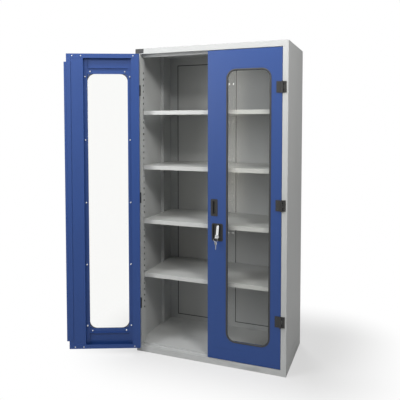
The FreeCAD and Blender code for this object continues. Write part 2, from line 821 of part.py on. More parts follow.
def channel(side, name, edge, wall_x, lap_x, nut_x, rivets):
    """A door's upright channel: its face, its wall and the flange that clamps the pane."""
    body = new_body(f"{SIDES[side]}_door_{name}_channel")
    path = [
        (edge * side, behind(channel_face)),
        (wall_x * side, behind(channel_face)),
        (wall_x * side, behind(clamp_back)),
        (lap_x * side, behind(clamp_back)),
    ]
    towards = sign(wall_x.number - edge.number)
    sketch = new_sketch(body, "XY", door_low + S.wall)
    add_polygon(sketch, folded(path, S.wall * (-side * towards)))
    pad(body, sketch, door_high - door_low - S.wall * 2)
    stud_holes(body, side_nuts(nut_x * side), S.stud_radius + S.stud_play)
    sketch = new_sketch(body, "XZ", behind(channel_face - S.wall))
    for x, z in rivets:
        add_circle(sketch, x, z, S.door_rivet_radius + S.rivet_play)
    pocket(body, sketch, S.wall)
    swing(body, side)


def channels(side):
    rivets = rivet_places(side)
    channel(
        side, "wide", free_edge + S.wall, window_in - S.clamp_flange,
        window_in + S.clamp_lap, window_in - S.nut_out, rivets[:4],
    )
    channel(
        side, "narrow", hinge_edge - S.wall, window_out + S.clamp_flange,
        window_out - S.clamp_lap, window_out + S.nut_out, rivets[4:],
    )


def retainer(side, name, edge, height, up):
    """The strip that clamps the pane above or below the window."""
    body = new_body(f"{SIDES[side]}_window_{name}_retainer")
    path = [
        (behind(clamp_back), edge - S.clamp_lap * up),
        (behind(clamp_back), edge + height * up),
        (behind(clamp_back + S.retainer_rise), edge + height * up),
    ]
    ends = (window_in + S.clamp_lap + S.retainer_gap, window_out - S.clamp_lap - S.retainer_gap)
    start = ends[0] if side == RIGHT else -ends[1]
    sketch = new_sketch(body, "YZ", start)
    add_polygon(sketch, folded(path, S.wall * up))
    pad(body, sketch, ends[1] - ends[0])
    stud_holes(body, end_nuts(side, edge, up), S.stud_radius + S.stud_play)
    swing(body, side)


def end_nuts(side, edge, up):
    across = (window_in + S.nut_in, window_out - S.nut_in)
    return [(x * side, edge + S.nut_out * up) for x in across]


def retainers(side):
    retainer(side, "top", window_high, S.retainer_high, 1)
    retainer(side, "bottom", window_low, S.retainer_low, -1)


def window_pane(side):
    body = new_body(f"{SIDES[side]}_window_pane")
    sketch = new_sketch(body, "XZ", behind(S.wall + S.trim_wall))
    across = ((window_in - S.pane_lap) * side, (window_out + S.pane_lap) * side)
    add_rectangle(sketch, *across, window_low - S.pane_lap, window_high + S.pane_lap)
    pad(body, sketch, S.pane_thickness)
    swing(body, side)


def window_trim(side):
    """Rubber edging: a lip on each face of the steel and a core in the opening."""
    body = new_body(f"{SIDES[side]}_window_trim")
    layers = (
        (front - S.trim_wall, S.trim_wall, S.trim_lip),
        (front, S.wall, as_size(0)),
        (behind(S.wall), S.trim_wall, S.trim_lip),
    )
    for start, depth, lip in layers:
        sketch = new_sketch(body, "XZ", start)
        add_window(sketch, side, lip)
        add_window(sketch, side, -S.trim_core)
        pad(body, sketch, depth)
    swing(body, side)


def window_nuts(side):
    """Studs on the skin's back with dome nuts that pull the clamping strips down."""
    body = new_body(f"{SIDES[side]}_window_nuts")
    places = side_nuts((window_in - S.nut_out) * side) + side_nuts((window_out + S.nut_out) * side)
    places += end_nuts(side, window_high, 1) + end_nuts(side, window_low, -1)
    sketch = new_sketch(body, "XZ", behind(S.wall))
    for x, z in places:
        add_circle(sketch, x, z, S.stud_radius)
    pad(body, sketch, clamp_back - S.wall)
    sketch = new_sketch(body, "XZ", behind(clamp_back))
    for x, z in places:
        add_circle(sketch, x, z, S.nut_radius)
    nuts = pad(body, sketch, S.nut_height)
    doc.recompute()
    bevel_back_edges(body, nuts, S.nut_dome)
    swing(body, side)


def bevel_back_edges(body, feature, size):
    """Bevel the edges that lie in a feature's rearmost plane."""
    far = feature.Shape.BoundBox.YMax
    flat = 1e-6
    edges = []
    for number, edge in enumerate(feature.Shape.Edges, start=1):
        if edge.BoundBox.YMin > far - flat:
            edges.append(f"Edge{number}")
    bevel = body.newObject("PartDesign::Chamfer", f"{body.Label}_bevel")
    bevel.Base = (feature, edges)
    bind(bevel, "Size", size)
    body.Tip = bevel


def door_rivets(side):
    body = new_body(f"{SIDES[side]}_door_rivets")
    layers = (
        (behind(channel_face - S.wall), S.wall * 2, S.door_rivet_radius),
        (behind(S.door_depth), S.door_rivet_rise, S.door_rivet_head),
    )
    for start, length, radius in layers:
        sketch = new_sketch(body, "XZ", start)
        for x, z in rivet_places(side):
            add_circle(sketch, x, z, radius)
        pad(body, sketch, length)
    swing(body, side)


def door_lip():
    """The left door's stepped lip, which covers the gap between the doors."""
    body = new_body("left_door_lip")
    on_door = -free_edge - S.door_return
    path_back = S.door_depth + S.lip_joggle
    outline = [
        (on_door, behind(S.door_depth)),
        (-free_edge, behind(S.door_depth)),
        (-free_edge + S.lip_joggle, behind(path_back)),
        (-free_edge + S.lip_reach, behind(path_back)),
        (-free_edge + S.lip_reach, behind(path_back + S.lip_wall)),
        (-free_edge, behind(path_back + S.lip_wall)),
        (-free_edge - S.lip_joggle, behind(S.door_depth + S.lip_wall)),
        (on_door, behind(S.door_depth + S.lip_wall)),
    ]
    sketch = new_sketch(body, "XY", door_low + S.lip_low)
    add_polygon(sketch, outline)
    pad(body, sketch, door_high - door_low - S.lip_low - S.lip_high)
    swing(body, LEFT)


# A hinge has three knuckles: the frame leaf's two, and the door leaf's between them.
KNUCKLES = 3
knuckle = S.hinge_height / KNUCKLES
lowest_hinge = door_low + S.hinge_low_margin
highest_hinge = door_high - S.hinge_high_margin
hinge_pitch = (highest_hinge - lowest_hinge) / (S.hinge_count - 1)
hinge_base = lowest_hinge - S.hinge_height / 2
leaf_start = S.knuckle_radius + S.leaf_gap


def hinge_leaf(side, label, edge, towards, knuckles):
    """A column of hinge leaves: a plate, and tongues that curl into knuckles round the pin."""
    body = new_body(label)
    features = []

    def layer(low, height, draw):
        sketch = new_sketch(body, "XY", low)
        draw(sketch)
        features.append(pad(body, sketch, height))

    def from_pin(distance):
        return (pin_x + distance * towards) * side

    def plate(sketch):
        add_rectangle(sketch, from_pin(leaf_start), from_pin(edge), front - S.leaf_wall, front)

    def tongue(sketch):
        far = from_pin(leaf_start)
        add_rectangle(sketch, from_pin(S.leaf_tongue), far, front - S.leaf_wall, front - S.knuckle_gap)

    def barrel(sketch):
        add_circle(sketch, pin_x * side, pin_y, S.knuckle_radius)

    layer(hinge_base, S.hinge_height, plate)
    for low, height in knuckles:
        layer(low, height, tongue)
        layer(low, height, barrel)
    sketch = new_sketch(body, "XY", hinge_base)
    add_circle(sketch, pin_x * side, pin_y, S.pin_radius + S.running_play)
    features.append(pocket(body, sketch, S.hinge_height))
    repeat_up(body, features, hinge_pitch, S.hinge_count)
    return body


def hinges(side):
    name = SIDES[side]
    middle = [(hinge_base + knuckle + S.knuckle_gap, knuckle - S.knuckle_gap * 2)]
    ends = [(hinge_base, knuckle), (hinge_base + S.hinge_height - knuckle, knuckle)]
    leaves = hinge_leaf(side, f"{name}_hinge_door_leaves", S.door_leaf, -1, middle)
    swing(leaves, side)
    hinge_leaf(side, f"{name}_hinge_frame_leaves", S.frame_leaf, 1, ends)
    body = new_body(f"{name}_hinge_pins")
    layers = (
        (hinge_base - S.pin_head_rise, S.pin_head_rise, S.pin_head),
        (hinge_base, S.hinge_height, S.pin_radius),
        (hinge_base + S.hinge_height, S.pin_head_rise, S.pin_head),
    )
    features = []
    for low, height, radius in layers:
        sketch = new_sketch(body, "XY", low)
        add_circle(sketch, pin_x * side, pin_y, radius)
        features.append(pad(body, sketch, height))
    repeat_up(body, features, hinge_pitch, S.hinge_count)


def pull_cup():
    """The finger pull: a rim on the door's face and a cup behind it."""
    body = new_body("pull_cup")
    middle = free_edge + S.pull_in
    half = S.pull_width / 2
    tall = S.pull_height / 2
    sketch = new_sketch(body, "XZ", front - S.pull_rim)
    rim = (middle - half, middle + half, pull_up - tall, pull_up + tall)
    add_rounded(sketch, *rim, S.pull_radius)
    pad(body, sketch, S.pull_rim)
    sketch = new_sketch(body, "XZ", front)
    add_rectangle(sketch, *pull_bounds(S.pull_wall))
    pad(body, sketch, S.pull_reach)
    sketch = new_sketch(body, "XZ", front - S.pull_rim)
    add_rectangle(sketch, *pull_bounds(as_size(0)))
    pocket(body, sketch, S.pull_rim + S.pull_reach - S.pull_wall)


def lock_dish():
    """The moulded dish round the turn handle, with a boss that carries the spindle."""
    body = new_body("lock_dish")
    floor = S.dish_reach - S.dish_wall
    sketch = new_sketch(body, "XZ", front - S.dish_rim)
    add_rounded(sketch, *dish_bounds(as_size(0)), S.dish_radius)
    pad(body, sketch, S.dish_rim)
    sketch = new_sketch(body, "XZ", front)
    add_rounded(sketch, *dish_bounds(-S.dish_lap), S.dish_radius - S.dish_lap)
    pad(body, sketch, S.dish_reach)
    sketch = new_sketch(body, "XZ", front - S.dish_rim)
    hollow = S.dish_lap + S.dish_wall
    add_rounded(sketch, *dish_bounds(-hollow), S.dish_radius - S.dish_lap - S.dish_wall)
    pocket(body, sketch, S.dish_rim + floor)
    sketch = new_sketch(body, "XZ", behind(floor - S.boss_rise))
    add_circle(sketch, lock_x, lock_z, S.boss_radius)
    pad(body, sketch, S.boss_rise)
    sketch = new_sketch(body, "XZ", behind(floor - S.boss_rise))
    add_circle(sketch, lock_x, lock_z, S.spindle_radius + S.running_play)
    pocket(body, sketch, S.boss_rise + S.dish_wall)


hub_back = S.dish_reach - S.dish_wall - S.boss_rise - S.hub_gap
cam_back = S.dish_reach + S.cam_gap + S.cam_thickness


def turn_handle():
    """The chrome handle: a hub with a bore for the key plug, a grip and a spindle."""
    body = new_body("turn_handle")
    sketch = new_sketch(body, "XZ", front - S.hub_front)
    half = S.grip_width / 2
    add_rounded(sketch, lock_x - half, lock_x + half, lock_z - half, lock_z + S.grip_length, S.grip_radius)
    grip = pad(body, sketch, S.grip_thickness)
    doc.recompute()
    round_front_edges(body, grip, S.grip_edge)
    sketch = new_sketch(body, "XZ", front - S.hub_front)
    add_circle(sketch, lock_x, lock_z, S.hub_radius)
    pad(body, sketch, S.hub_front + hub_back)
    sketch = new_sketch(body, "XZ", behind(hub_back))
    add_circle(sketch, lock_x, lock_z, S.spindle_radius)
    pad(body, sketch, cam_back - hub_back)
    sketch = new_sketch(body, "XZ", front - S.hub_front)
    add_circle(sketch, lock_x, lock_z, S.plug_radius + S.running_play)
    pocket(body, sketch, S.plug_depth)
    turn = f"rotation(vector(0; 1; 0); {S.handle_angle.text})"
    pivot = f"vector({lock_x.text}; 0; {lock_z.text})"
    body.setExpression("Placement", f"placement(vector(0; 0; 0); {turn}; {pivot})")


def round_front_edges(body, feature, size):
    """Round the edges that lie in a feature's foremost plane."""
    near = feature.Shape.BoundBox.YMin
    flat = 1e-6
    edges = []
    for number, edge in enumerate(feature.Shape.Edges, start=1):
        if edge.BoundBox.YMax < near + flat:
            edges.append(f"Edge{number}")
    fillet = body.newObject("PartDesign::Fillet", f"{body.Label}_round")
    fillet.Base = (feature, edges)
    bind(fillet, "Radius", size)
    body.Tip = fillet


def lock_cam():
    """The disc on the spindle whose two pins drive the lock rods apart."""
    body = new_body("lock_cam")
    sketch = new_sketch(body, "XZ", behind(S.dish_reach + S.cam_gap))
    add_circle(sketch, lock_x, lock_z, S.cam_radius)
    add_circle(sketch, lock_x, lock_z, S.spindle_radius)
    pad(body, sketch, S.cam_thickness)
    sketch = new_sketch(body, "XZ", behind(cam_back))
    for side in SIDES:
        offset = S.cam_pin_offset * side
        add_circle(sketch, lock_x + offset, lock_z + offset, S.cam_pin_radius)
    pad(body, sketch, S.cam_pin_length)


def lock_rod(label, side, low, high):
    """A flat rod with a cross slot for its cam pin."""
    body = new_body(label)
    middle = lock_x + S.rod_offset * side
    half = S.rod_width / 2
    sketch = new_sketch(body, "XZ", behind(rod_front))
    add_rectangle(sketch, middle - half, middle + half, low, high)
    reach = S.cam_pin_radius + S.yoke_play
    furthest = S.cam_pin_offset * math.sqrt(2)
    near = lock_x + (S.cam_pin_offset - reach) * side
    far = lock_x + (furthest + reach) * side
    pin_z = lock_z + S.cam_pin_offset * side
    add_rectangle(sketch, near, far, pin_z - reach, pin_z + reach)
    pad(body, sketch, S.rod_thickness)


def lock_rods():
    end = S.cam_pin_offset + S.rod_end
    lock_rod("upper_lock_rod", LEFT, lock_z - end, door_high - S.rod_short)
    lock_rod("lower_lock_rod", RIGHT, door_low + S.rod_short, lock_z + end)


def lock_rod_guides():
    """Nylon blocks on the wide channel's face that the lock rods slide through."""
    body = new_body("lock_rod_guides")
    block_back = channel_face - S.wall
    block_front = rod_front - S.guide_play - S.guide_wall / 2
    half = S.rod_width / 2 + S.guide_play
    places = (
        (upper_rod_x, door_high - S.guide_far),
        (upper_rod_x, lock_z + S.guide_over),
        (lower_rod_x, lock_z - S.guide_near),
        (lower_rod_x, door_low + S.guide_far),
    )
    for x, z in places:
        sketch = new_sketch(body, "XY", z - S.guide_height / 2)
        block = half + S.guide_wall
        add_rectangle(sketch, x - block, x + block, behind(block_front), behind(block_back))
        nearest = behind(rod_front - S.guide_play)
        furthest = behind(rod_front + S.rod_thickness + S.guide_play)
        add_rectangle(sketch, x - half, x + half, nearest, furthest)
        pad(body, sketch, S.guide_height)


plug_front = S.hub_front + S.plug_rise
bow_middle = plug_front + S.key_neck + S.bow_radius
bow_hole_front = bow_middle + S.bow_hole_out
ring_top = lock_z - S.bow_hole + S.ring_wire + S.ring_play
ring_middle = ring_top - S.ring_radius
spare_hole = ring_middle - S.ring_radius + S.ring_wire + S.spare_play - S.bow_hole


def key_plug():
    body = new_body("key_plug")
    sketch = new_sketch(body, "XZ", front - plug_front)
    add_circle(sketch, lock_x, lock_z, S.plug_radius)
    pad(body, sketch, S.plug_rise + S.plug_depth)
    sketch = new_sketch(body, "XZ", front - plug_front)
    half = S.key_thickness / 2 + S.key_play
    tall = S.key_blade / 2 + S.key_play
    add_rectangle(sketch, lock_x - half, lock_x + half, lock_z - tall, lock_z + tall)
    pocket(body, sketch, S.key_depth + S.key_play)


def door_key():
    """The key in the plug: blade, and a round bow with a hole for the ring."""
    body = new_body("door_key")
    start = lock_x - S.key_thickness / 2
    blade = S.key_blade / 2
    sketch = new_sketch(body, "YZ", start)
    blade_end = front - plug_front + S.key_depth
    add_rectangle(sketch, front - bow_middle, blade_end, lock_z - blade, lock_z + blade)
    pad(body, sketch, S.key_thickness)
    sketch = new_sketch(body, "YZ", start)
    add_circle(sketch, front - bow_middle, lock_z, S.bow_radius)
    pad(body, sketch, S.key_thickness)
    sketch = new_sketch(body, "YZ", start)
    add_circle(sketch, front - bow_hole_front, lock_z, S.bow_hole)
    pocket(body, sketch, S.key_thickness)


def key_ring():
    """A wire ring that hangs in the bow's hole, facing the front."""
    ring = doc.addObject("Part::Torus", "key_ring")
    ring.Label = "key_ring"
    NODES["key_ring"] = ring
    bind(ring, "Radius1", S.ring_radius)
    bind(ring, "Radius2", S.ring_wire)
    spot = f"vector({lock_x.text}; {(front - bow_hole_front).text}; {ring_middle.text})"
    ring.setExpression("Placement", f"placement({spot}; rotation(vector(1; 0; 0); 90))")


def spare_key():
    """A second key that hangs from the bottom of the ring."""
    body = new_body("spare_key")
    start = lock_x - S.key_thickness / 2
    ring_y = front - bow_hole_front
    bow_z = spare_hole - S.bow_hole_out
    blade = S.key_blade / 2
    sketch = new_sketch(body, "YZ", start)
    add_circle(sketch, ring_y, bow_z, S.bow_radius)
    pad(body, sketch, S.key_thickness)
    sketch = new_sketch(body, "YZ", start)
    add_rectangle(sketch, ring_y - blade, ring_y + blade, bow_z - S.bow_radius - S.spare_length, bow_z)
    pad(body, sketch, S.key_thickness)
    sketch = new_sketch(body, "YZ", start)
    add_circle(sketch, ring_y, spare_hole, S.bow_hole)
    pocket(body, sketch, S.key_thickness)
    turn = f"rotation(vector(0; 0; 1); {S.spare_angle.text})"
    pivot = f"vector({lock_x.text}; {ring_y.text}; 0)"
    body.setExpression("Placement", f"placement(vector(0; 0; 0); {turn}; {pivot})")


SHELVES = ("shelf_4", "shelf_3", "shelf_2", "shelf_1")


def carcass():
    top_panel()
    header_rail()
    floor_tray()
    sill_rail()
    back_centre_strip()
    back_rivets()
    name_plate()
    for side in SIDES:
        side_panel(side)
        front_post(side)
        rear_post(side)
        back_panel(side)
        hinges(side)
    for number, label in enumerate(SHELVES):
        shelf(label, number)
    shelf_clips(len(SHELVES))


def doors():
    for side in SIDES:
        door_skin(side)
        door_edge(side)
        channels(side)
        retainers(side)
        window_pane(side)
        window_trim(side)
        window_nuts(side)
        door_rivets(side)
    door_lip()


def lock():
    pull_cup()
    lock_dish()
    turn_handle()
    lock_cam()
    lock_rods()
    lock_rod_guides()
    key_plug()
    door_key()
    key_ring()
    spare_key()


def check_model():
    """Stop if a feature failed, a cut removed nothing or a piece has no sound solid."""
    for thing in doc.Objects:
        if "Invalid" in thing.State or "Error" in thing.State:
            raise RuntimeError(f"{thing.Label} failed: {thing.State}")
        if thing.TypeId == "PartDesign::Pocket":
            if thing.Shape.Volume >= thing.BaseFeature.Shape.Volume:
                raise RuntimeError(f"{thing.Label} cuts nothing")
    for label, node in NODES.items():
        shape = node.Shape
        if shape.isNull() or not shape.isValid() or not shape.Solids:
            raise RuntimeError(f"{label} has no sound solid")


carcass()
doors()
lock()
doc.recompute()
check_model()
os.makedirs("parts", exist_ok=True)
for label, node in NODES.items():
    node.Shape.exportStep(f"parts/{label}.step")
    print(label, len(node.Shape.Solids), round(node.Shape.Volume, 1))
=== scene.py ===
# %% [markdown]
# A steel tool cabinet with window doors, dressed for a studio photograph.
# Its solids were modelled to size beforehand, so this lesson loads them as a fixed frame, gives each
# one its finish, adds the small fittings that the solids leave out, and sets up the studio.
# Lengths are metres: X runs across the front, Y from front to back, Z up from the floor.

# %% Load the solids
import json
import math

import bmesh
import bpy
from mathutils import Matrix, Vector

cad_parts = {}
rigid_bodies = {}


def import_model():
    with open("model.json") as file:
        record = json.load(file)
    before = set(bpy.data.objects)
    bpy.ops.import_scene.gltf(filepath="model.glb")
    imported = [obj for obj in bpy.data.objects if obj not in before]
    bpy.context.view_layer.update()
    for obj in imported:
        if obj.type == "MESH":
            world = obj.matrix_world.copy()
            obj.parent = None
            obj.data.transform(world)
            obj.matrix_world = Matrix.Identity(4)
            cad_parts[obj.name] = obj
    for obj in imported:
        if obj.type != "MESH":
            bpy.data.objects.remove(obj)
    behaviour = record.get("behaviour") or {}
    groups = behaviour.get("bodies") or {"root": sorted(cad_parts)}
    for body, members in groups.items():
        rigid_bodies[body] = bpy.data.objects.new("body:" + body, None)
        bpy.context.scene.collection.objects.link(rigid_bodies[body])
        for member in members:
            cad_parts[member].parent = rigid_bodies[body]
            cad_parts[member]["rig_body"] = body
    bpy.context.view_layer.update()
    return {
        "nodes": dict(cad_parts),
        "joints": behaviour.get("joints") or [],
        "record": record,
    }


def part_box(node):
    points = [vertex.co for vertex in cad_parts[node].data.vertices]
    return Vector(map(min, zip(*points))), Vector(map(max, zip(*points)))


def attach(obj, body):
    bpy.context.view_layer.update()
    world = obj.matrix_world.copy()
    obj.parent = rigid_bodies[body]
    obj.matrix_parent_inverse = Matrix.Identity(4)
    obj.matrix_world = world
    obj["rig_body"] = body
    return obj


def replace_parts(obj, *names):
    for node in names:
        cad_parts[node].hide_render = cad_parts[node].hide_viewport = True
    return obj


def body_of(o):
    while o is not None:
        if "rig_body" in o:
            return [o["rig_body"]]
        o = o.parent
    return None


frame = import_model()
nodes = frame["nodes"]

# %% [markdown]
# Finishes are built from shader nodes, and most of what they need is sums: a base value plus a little
# noise, one minus a mask. Wiring Math nodes by hand hides that, so one small class wraps a socket and
# lets Python's own operators add the nodes. Every other node comes from its one method, node().

# %% A wire through a shader tree
class Wire:
    """One output socket of a shader tree. Arithmetic on it adds Math nodes."""

    def __init__(self, tree, socket=None):
        self.tree = tree
        self.socket = socket

    def node(self, kind, inputs=None, output=0, **settings):
        """Add a node: its settings first, then the values or wires of its sockets."""
        made = self.tree.nodes.new(f"ShaderNode{kind}")
        for name, value in settings.items():
            if name == "stops":
                set_stops(made.color_ramp, value)
            else:
                setattr(made, name, value)
        for name, value in (inputs or {}).items():
            if isinstance(value, Wire):
                self.tree.links.new(value.socket, made.inputs[name])
            else:
                made.inputs[name].default_value = value
        return Wire(self.tree, made.outputs[output] if len(made.outputs) else None)

    def maths(self, operation, first, second):
        return self.node("Math", {0: first, 1: second}, operation=operation)

    def __add__(self, other):
        return self.maths("ADD", self, other)

    def __sub__(self, other):
        return self.maths("SUBTRACT", self, other)

    def __mul__(self, other):
        return self.maths("MULTIPLY", self, other)

    def __radd__(self, other):
        return self.maths("ADD", other, self)

    def __rsub__(self, other):
        return self.maths("SUBTRACT", other, self)

    def __rmul__(self, other):
        return self.maths("MULTIPLY", other, self)

    def __pow__(self, other):
        return self.maths("POWER", self, other)

    def __rpow__(self, other):
        return self.maths("POWER", other, self)


def set_stops(ramp, stops):
    """Give a colour ramp its (place, grey) stops."""
    while len(ramp.elements) < len(stops):
        ramp.elements.new(1)
    for element, (place, grey) in zip(ramp.elements, stops):
        element.position = place
        element.color = (grey, grey, grey, 1)


print("operators ready: + - * ** with numbers on either side")

# %% [markdown]
# Five helpers serve every finish. A pattern is placed by the object's own coordinates, which are the
# cabinet's metres, so a speckle has the same size on a key as on a door and moves with its piece.
# Colours are blended with a Mix node, because a Math node would turn them grey.

# %% Helpers for finishes
FINISHES = {}


def new_finish(name):
    """A material with an empty tree. Returns a wire to build on."""
    material = bpy.data.materials.new(name)
    material.use_nodes = True
    material.node_tree.nodes.clear()
    FINISHES[name] = material
    return Wire(material.node_tree)


def noise(tree, size, detail, stretch=(1, 1, 1)):
    """Smooth noise whose lumps are about size metres across, from 0 to 1."""
    place = tree.node("TexCoord", output="Object")
    place = tree.node("Mapping", {"Vector": place, "Scale": stretch})
    return tree.node("TexNoise", {"Vector": place, "Scale": 1 / size, "Detail": detail})


def blend(tree, mask, first, second):
    """A colour that goes from first to second as the mask goes from 0 to 1.

    A Mix node has sockets for every kind of value: 6 and 7 take colours, and output 2 gives one.
    """
    inputs = {0: mask, 6: first, 7: second}
    return tree.node("Mix", inputs, output=2, data_type="RGBA")


def show(tree, surface):
    """End a tree: send a shader to the material's output."""
    tree.node("OutputMaterial", {"Surface": surface})


def tone(colour, factor):
    """A colour made lighter or darker, as the four numbers that a socket takes."""
    return tuple(min(1.0, c * factor) for c in colour) + (1.0,)


print("helpers ready")

# %% [markdown]
# Powder coat is dry paint that is sprayed on as dust and baked. It flows out almost flat, but keeps a
# fine orange-peel skin that breaks up reflections, and its gloss drifts a little over a big sheet.
# A bump from fine noise gives the skin, and slow noise moves colour and roughness by a few percent.
# Low scuffs, where shoes and trolleys touch, come from stretched noise that fades out above the floor.

# %% Powder coat
PEEL, DRIFT = 0.0022, 0.35
SCUFF_HEIGHT, SCUFF_SIZE = 0.16, 0.05


def powder_coat(name, colour, roughness, shine, scuff=0.0):
    """A sprayed and baked coat. Shine is its specular level, scuff how strongly its foot is marked."""
    tree = new_finish(name)
    drift = noise(tree, DRIFT, 3)
    skin = noise(tree, PEEL, 1)
    body = blend(tree, drift, tone(colour, 0.94), tone(colour, 1.06))
    rough = roughness - 0.05 + 0.1 * drift
    if scuff:
        place = tree.node("TexCoord", output="Object")
        height = tree.node("SeparateXYZ", {0: place}, output="Z")
        low = tree.node("MapRange", {
            "Value": height, "From Min": 0.0, "From Max": SCUFF_HEIGHT, "To Min": 1.0, "To Max": 0.0,
        })
        streak = noise(tree, SCUFF_SIZE, 6, (0.25, 0.25, 1.6))
        marks = tree.node("ValToRGB", {0: streak}, stops=[(0.58, 0.0), (0.7, 1.0)])
        mask = low * marks * scuff
        body = blend(tree, mask, body, tone(colour, 0.6))
        rough = rough + 0.2 * mask
    bump = tree.node("Bump", {"Height": skin, "Strength": 0.12, "Distance": 0.0004})
    shader = tree.node("BsdfPrincipled", {
        "Base Color": body, "Roughness": rough, "Specular IOR Level": shine, "Normal": bump,
    })
    show(tree, shader)


powder_coat("door_blue", (0.016, 0.056, 0.22), 0.42, 0.42, scuff=0.5)
powder_coat("carcass_grey", (0.54, 0.55, 0.545), 0.45, 0.1, scuff=0.6)
powder_coat("shelf_grey", (0.56, 0.57, 0.555), 0.3, 0.4)
powder_coat("hinge_black", (0.022, 0.022, 0.022), 0.4, 0.4)
print("powder coats:", ", ".join(FINISHES))

# %% [markdown]
# The windows are clear acrylic sheet. Most light goes straight through and a few percent is mirrored,
# more at a slant. A glass shader would do, but it stops the lamps from lighting the shelves behind it,
# so a Mix Shader puts a thin mirror over a Transparent one. The Fresnel node would take a slanted ray on
# its way out for one caught inside the sheet, so a short sum sets the mirror's share instead, from how
# far a face turns away, which is the same on both faces. Faint wipe marks make the mirror rougher.

# %% Clear pane and rubber edging
STRAIGHT_ON, SLANT_POWER = 0.02, 5

tree = new_finish("clear_pane")
wipe = noise(tree, 0.12, 4, (1, 1, 0.4))
mirror = tree.node("BsdfPrincipled", {
    "Base Color": (0.95, 0.97, 0.97, 1), "Metallic": 1.0, "Roughness": 0.05 + 0.16 * wipe,
})
through = tree.node("BsdfTransparent", {"Color": (0.975, 0.975, 0.968, 1)})
facing = tree.node("LayerWeight", {"Blend": 0.5}, output="Facing")
slant = STRAIGHT_ON + (1 - STRAIGHT_ON) * facing ** SLANT_POWER
show(tree, tree.node("MixShader", {0: slant, 1: through, 2: mirror}))

tree = new_finish("trim_rubber")
grain = noise(tree, 0.0012, 2)
dust = noise(tree, 0.06, 4)
body = blend(tree, dust, (0.014, 0.0145, 0.0155, 1), (0.03, 0.031, 0.033, 1))
bump = tree.node("Bump", {"Height": grain, "Strength": 0.25, "Distance": 0.0003})
show(tree, tree.node("BsdfPrincipled", {
    "Base Color": body, "Roughness": 0.36 + 0.2 * dust, "Specular IOR Level": 0.5, "Normal": bump,
}))
print("window finishes: clear_pane, trim_rubber")

# %% [markdown]
# Two bright metals meet on the lock. The handle is chromed: a mirror with faint finger marks. Nuts,
# rivets, rods and keys are zinc plated, duller and a little cloudy, with fine drawn lines. Both
# are fully metallic, and noise on the roughness is enough to tell them apart.

# %% Bright metals
def bright_metal(name, colour, roughness, cloud, line):
    """A plated metal, with marks as large as cloud and drawn lines as fine as line, in metres."""
    tree = new_finish(name)
    marks = noise(tree, cloud, 4)
    lines = noise(tree, line, 3, (1, 1, 0.08))
    body = blend(tree, marks, tone(colour, 0.86), tone(colour, 1.05))
    rough = roughness + 0.12 * marks + 0.06 * lines
    bump = tree.node("Bump", {"Height": lines, "Strength": 0.08, "Distance": 0.0002})
    show(tree, tree.node("BsdfPrincipled", {
        "Base Color": body, "Metallic": 1.0, "Roughness": rough, "Normal": bump,
    }))


bright_metal("chrome", (0.78, 0.79, 0.8), 0.05, 0.012, 0.003)
bright_metal("bright_zinc", (0.66, 0.67, 0.68), 0.2, 0.02, 0.0008)
print("metals: chrome, bright_zinc")

# %% [markdown]
# The finger pull and the lock's dish are moulded in black plastic with a fine spark-eroded grain, the
# rod guides in natural nylon, and the plate on the header is black anodised sheet, left bare.
# One function covers them: a colour, a roughness, and the size of the grain.

# %% Plastics and the bare plate
TOUCH = 0.03


def moulded(name, colour, roughness, grain_size):
    """A grained surface whose tone drifts a little where it is touched."""
    tree = new_finish(name)
    grain = noise(tree, grain_size, 2)
    touch = noise(tree, TOUCH, 3)
    body = blend(tree, touch, tone(colour, 0.85), tone(colour, 1.2))
    rough = roughness - 0.06 + 0.12 * touch
    bump = tree.node("Bump", {"Height": grain, "Strength": 0.2, "Distance": 0.0002})
    show(tree, tree.node("BsdfPrincipled", {
        "Base Color": body, "Roughness": rough, "Specular IOR Level": 0.45, "Normal": bump,
    }))


moulded("black_plastic", (0.010, 0.010, 0.0105), 0.38, 0.0009)
moulded("nylon", (0.72, 0.7, 0.64), 0.5, 0.002)
moulded("black_plate", (0.012, 0.012, 0.013), 0.5, 0.0006)
print("mouldings: black_plastic, nylon, black_plate")

# %% [markdown]
# Each solid already names the finish that it takes, so dressing the cabinet is one loop.

# %% Give every solid its finish
slot_of = {part["node"]: part["material_slot"] for part in frame["record"]["subparts"]}
for name, solid in nodes.items():
    solid.data.materials.clear()
    solid.data.materials.append(FINISHES[slot_of[name]])
print("dressed", len(slot_of), "solids")

# %% [markdown]
# Sheet steel is never knife sharp: a press brake leaves a small radius along every bend, mouldings have
# one by design, and it is this radius that catches the light. The solids have plain corners, so a copy
# of each visible piece gets its sharp edges rounded and stands in for the solid. Welding and dissolving
# first turns the solid's triangles back into whole faces, so the bevel meets clean edges, and weighted
# normals keep the wide faces flat beside their narrow rounded edges.

# %% Rounded copies
SHARP, FLAT = math.radians(40), math.radians(1)
WELD, BEVEL_STEPS = 1e-6, 2


def new_piece(name, shape, body, slot):
    """Turn a bmesh into an object with a finish that rides on a body."""
    mesh = bpy.data.meshes.new(name)
    shape.to_mesh(mesh)
    shape.free()
    mesh.materials.append(FINISHES[slot])
    piece = bpy.data.objects.new(name, mesh)
    bpy.context.scene.collection.objects.link(piece)
    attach(piece, body)
    return piece


def smooth_but_sharp(shape):
    """Shade a shape smooth, except across its sharp edges."""
    for face in shape.faces:
        face.smooth = True
    for edge in shape.edges:
        edge.smooth = not edge.is_manifold or edge.calc_face_angle() < SHARP


def is_sharp(edge):
    return edge.is_manifold and edge.calc_face_angle() > SHARP


